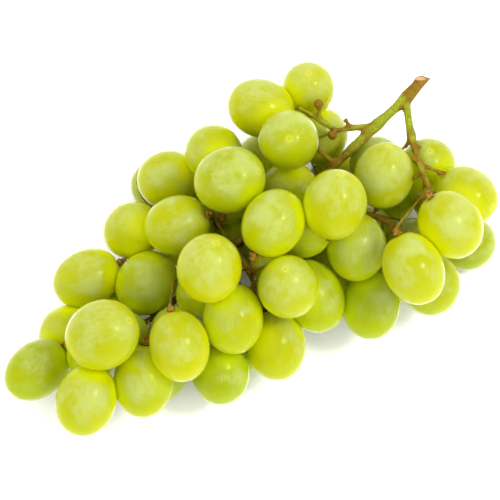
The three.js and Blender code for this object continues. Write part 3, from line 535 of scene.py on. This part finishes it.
def stem_bark():
    """Green bark with brown streaks, brown at the knots and the seats, and a pale cut face."""
    material, tree = new_material("stem_bark")
    place = tree.node("ShaderNodeTexCoord", {}, {}, "Object")
    grain = tree.node("ShaderNodeAttribute", {"attribute_name": "grain"}, {}, "Vector")
    knot = tree.node("ShaderNodeAttribute", {"attribute_name": "knot"}, {}, "Fac")
    crust = tree.node("ShaderNodeAttribute", {"attribute_name": "crust"}, {}, "Fac")
    cut = tree.node("ShaderNodeAttribute", {"attribute_name": "cut"}, {}, "Fac")
    from_pith = tree.node("ShaderNodeAttribute", {"attribute_name": "from_pith"}, {}, "Fac")
    patches = tree.node("ShaderNodeTexNoise", {}, {
        "Vector": place, "Scale": PATCH_SCALE, "Detail": 3.0, "Roughness": 0.6})
    fine = tree.node("ShaderNodeTexNoise", {}, {
        "Vector": place, "Scale": FINE_SCALE, "Detail": 3.0, "Roughness": 0.6})
    streaks = tree.node("ShaderNodeTexNoise", {}, {
        "Vector": grain, "Scale": STREAK_SCALE, "Detail": 3.0, "Roughness": 0.6})
    from_cut = tree.node("ShaderNodeVectorMath", {"operation": "DISTANCE"}, {
        0: place, 1: CUT_END}, "Value")
    green = tree.blend(*GREEN_BARK, streaks.over(0.36, 0.60))
    back = tree.node("ShaderNodeSeparateXYZ", {}, {0: place}, "Y")
    # Browner toward the cut end, and toward the back, in among the berries.
    browning = 0.34 * from_cut.over(*OLD_END) + 0.26 * back.over(*BROWNER_INSIDE)
    aged = patches + 0.9 * streaks + 0.55 * knot + browning
    worn = aged.over(0.98, 1.28)
    rust = (0.6 * streaks + 0.4 * fine).over(0.35, 0.65)
    brown = tree.blend(*BROWN_BARK, rust)
    color = tree.blend(green, brown, worn * 0.9)
    crusty = tree.blend(*SEAT_BARK, fine.over(0.35, 0.65))
    color = tree.blend(color, crusty, crust * (0.5 + patches).over(0.75, 1.0))
    wood = tree.blend(*CUT_WOOD, fine.over(0.3, 0.6))
    pith = from_pith.over(1.3 * PITH_WIDTH, PITH_WIDTH)
    color = tree.blend(color, wood, cut * (0.3 + 0.7 * pith))
    bump = tree.node("ShaderNodeBump", {}, {
        "Strength": 0.6, "Distance": 0.0003, "Height": 0.6 * fine + streaks})
    surface = tree.node("ShaderNodeBsdfPrincipled", {}, {
        "Base Color": color, "Roughness": 0.40 + 0.2 * fine + 0.15 * worn, "Normal": bump,
        "Specular IOR Level": 0.15, "Subsurface Weight": 0.15, "Subsurface Radius": SAP_TINT,
        "Subsurface Scale": SAP_REACH})
    tree.node("ShaderNodeOutputMaterial", {}, {"Surface": surface})
    return material


def smoothed(values, edges, rounds):
    """Values on corners, evened out along the edges."""
    count = np.bincount(edges.ravel(), minlength=len(values)).clip(1)[:, None]
    for _ in range(rounds):
        total = np.zeros_like(values)
        for column in range(values.shape[1]):
            total[:, column] = np.bincount(edges[:, 0], values[edges[:, 1], column], len(values))
            total[:, column] += np.bincount(edges[:, 1], values[edges[:, 0], column], len(values))
        values = 0.5 * values + 0.5 * total / count
    return values


def read_grain(mesh, seats):
    """Notes on the stem's skin which way it runs, where it is knotty, seated on or cut."""
    count = len(mesh.vertices)
    places, normals = np.empty(count * 3), np.empty(count * 3)
    mesh.vertices.foreach_get("co", places)
    mesh.vertex_normals.foreach_get("vector", normals)
    edges = np.empty(len(mesh.edges) * 2, np.int64)
    mesh.edges.foreach_get("vertices", edges)
    places, normals, edges = places.reshape(-1, 3), normals.reshape(-1, 3), edges.reshape(-1, 2)
    spread = (normals[:, :, None] * normals[:, None, :]).reshape(-1, 9)
    spread = smoothed(spread, edges, KNOT_ROUNDS)
    knot = (np.linalg.eigvalsh(spread.reshape(-1, 3, 3))[:, 0] / KNOTTY).clip(0, 1)
    note(mesh, "knot", knot)
    spread = smoothed(spread, edges, BEND_ROUNDS)
    along = np.linalg.eigh(spread.reshape(-1, 3, 3))[1][:, :, 0]
    note(mesh, "grain", places - GRAIN_PULL * along * (along * places).sum(1)[:, None])
    near = np.full(count, 1.0)
    for seat in seats:
        near = np.minimum(near, np.linalg.norm(places - seat, axis=1))
    note(mesh, "crust", (1.6 - near / CRUST_REACH).clip(0, 1))
    from_end = np.linalg.norm(places - np.array(CUT_END), axis=1)
    bare = np.maximum(1 - knot, (3 - from_end / CUT_WIDTH).clip(0, 1))
    places -= normals * (KNOT_RISE * bare)[:, None]
    stump = normals[from_end < CUT_WIDTH].mean(0)
    stump /= np.linalg.norm(stump)
    facing = np.array((0, math.sin(CUT_FACING), math.cos(CUT_FACING)))
    above = (places - np.array(CUT_END)) @ facing + CUT_DEEP
    sliced = (above > 0) & (from_end < 2 * CUT_WIDTH)
    places[sliced] -= np.outer(above[sliced] / (stump @ facing), stump)
    mesh.vertices.foreach_set("co", places.ravel())
    note(mesh, "cut", sliced.astype(float))
    from_end = np.linalg.norm(places - places[sliced].mean(0), axis=1)
    note(mesh, "from_pith", from_end)


bark = stem_bark()
seats = []
for spray in SPRAYS:
    for middle, axis, half_width, half_length in berries[spray]:
        end = middle - axis * half_length
        held = np.linalg.norm(stem_corners - end, axis=1).min() < SEAT_REACH
        clear = (end - axis * SEAT_TALL)[2] > SEAT_ROOM
        if held and clear:
            seats.append((end + axis * SEAT_DEEP, -axis))
seat_places, seat_axes = zip(*seats)
seats_piece = grown("seats", points_at(seat_places, axis=seat_axes), seat_tree(), {
    "Sides": SEAT_SIDES, "Steps": SEAT_STEPS, "Tall": SEAT_TALL, "Thin": SEAT_THIN,
    "Swell": SEAT_SWELL, "Warts": SEAT_WARTS, "Seed": SEAT_SEED, "Bark": bark})
stem_solid.from_mesh(seats_piece.data)
bpy.data.objects.remove(seats_piece)

mesh = bpy.data.meshes.new("stalks")
stem_solid.to_mesh(mesh)
stem_solid.free()
rough_stem = placed("rough_stem", mesh)
remesh = rough_stem.modifiers.new("skin", "REMESH")
remesh.mode = "VOXEL"
remesh.voxel_size = STEM_GRAIN
remesh.use_smooth_shade = True
smooth = rough_stem.modifiers.new("even", "SMOOTH")
smooth.factor = 0.5
smooth.iterations = STEM_SMOOTHING
evaluated = rough_stem.evaluated_get(bpy.context.evaluated_depsgraph_get())
stalks_mesh = bpy.data.meshes.new_from_object(evaluated)
rough_stem.modifiers.clear()
bpy.data.objects.remove(rough_stem)
read_grain(stalks_mesh, seat_places)
stalks_mesh.materials.clear()
stalks_mesh.materials.append(bark)
stalks = placed("stalks", stalks_mesh)
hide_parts("stem")
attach(stalks, "root")


# ---- Floor, light and camera ----------------------------------------------------------------
# A pale table top in a soft, even light from all round. Of three lamps, a broad one stands low
# in front, a broader one overhead on the left, and a small one on the right gives the gloss.
FACE_LEAN = math.radians(68)
FACE_MIDDLE = Vector((-0.001306, -0.000473, 0.038))
VIEW_DISTANCE = 0.9
FRAME_WIDTH = 0.18519
FLOOR_HALF = 3.0
FLOOR_PAINT = (0.93, 0.93, 0.92, 1)
ROOM_LIGHT = 1.06
out = Vector((0, -math.cos(FACE_LEAN), math.sin(FACE_LEAN)))
lens = bpy.data.cameras.new("camera")
lens.sensor_width = 36
lens.lens = lens.sensor_width * VIEW_DISTANCE / FRAME_WIDTH
camera = placed("camera", lens)
camera.location = FACE_MIDDLE + VIEW_DISTANCE * out
camera.rotation_euler = (math.pi / 2 - FACE_LEAN, 0, 0)
bpy.context.scene.camera = camera

floor_mesh = bpy.data.meshes.new("floor")
corners = [(x * FLOOR_HALF, y * FLOOR_HALF, 0) for x, y in ((-1, -1), (1, -1), (1, 1), (-1, 1))]
floor_mesh.from_pydata(corners, [], [(0, 1, 2, 3)])
floor = placed("floor", floor_mesh)
floor_paint, tree = new_material("floor_paint")
paint = tree.node("ShaderNodeBsdfPrincipled", {}, {"Base Color": FLOOR_PAINT, "Roughness": 0.8})
tree.node("ShaderNodeOutputMaterial", {}, {"Surface": paint})
floor_mesh.materials.append(floor_paint)

world = bpy.data.worlds.new("studio")
bpy.context.scene.world = world
world.use_nodes = True
daylight = world.node_tree.nodes["Background"]
daylight.inputs["Color"].default_value = (1, 1, 1, 1)
daylight.inputs["Strength"].default_value = ROOM_LIGHT


def lamp(name, place, size, power):
    light = bpy.data.lights.new(name, "AREA")
    light.size = size
    light.energy = power
    holder = placed(name, light)
    holder.location = place
    holder.rotation_euler = (FACE_MIDDLE - place).to_track_quat("-Z", "Y").to_euler()


def toward(right, up, away):
    """A place away from the bunch, in degrees to the right of the line of sight and above it."""
    across, tilt = math.radians(right), FACE_LEAN + math.radians(up)
    way = Vector((math.sin(across), 0, 0))
    way += math.cos(across) * Vector((0, -math.cos(tilt), math.sin(tilt)))
    return FACE_MIDDLE + away * way


lamp("key", toward(right=12, up=-14, away=1.0), size=1.2, power=5.5)
lamp("sky", toward(right=-30, up=30, away=1.2), size=1.6, power=9.5)
lamp("spark", toward(right=34, up=14, away=1.0), size=0.22, power=6.0)
bpy.context.scene.view_settings.view_transform = "Standard"
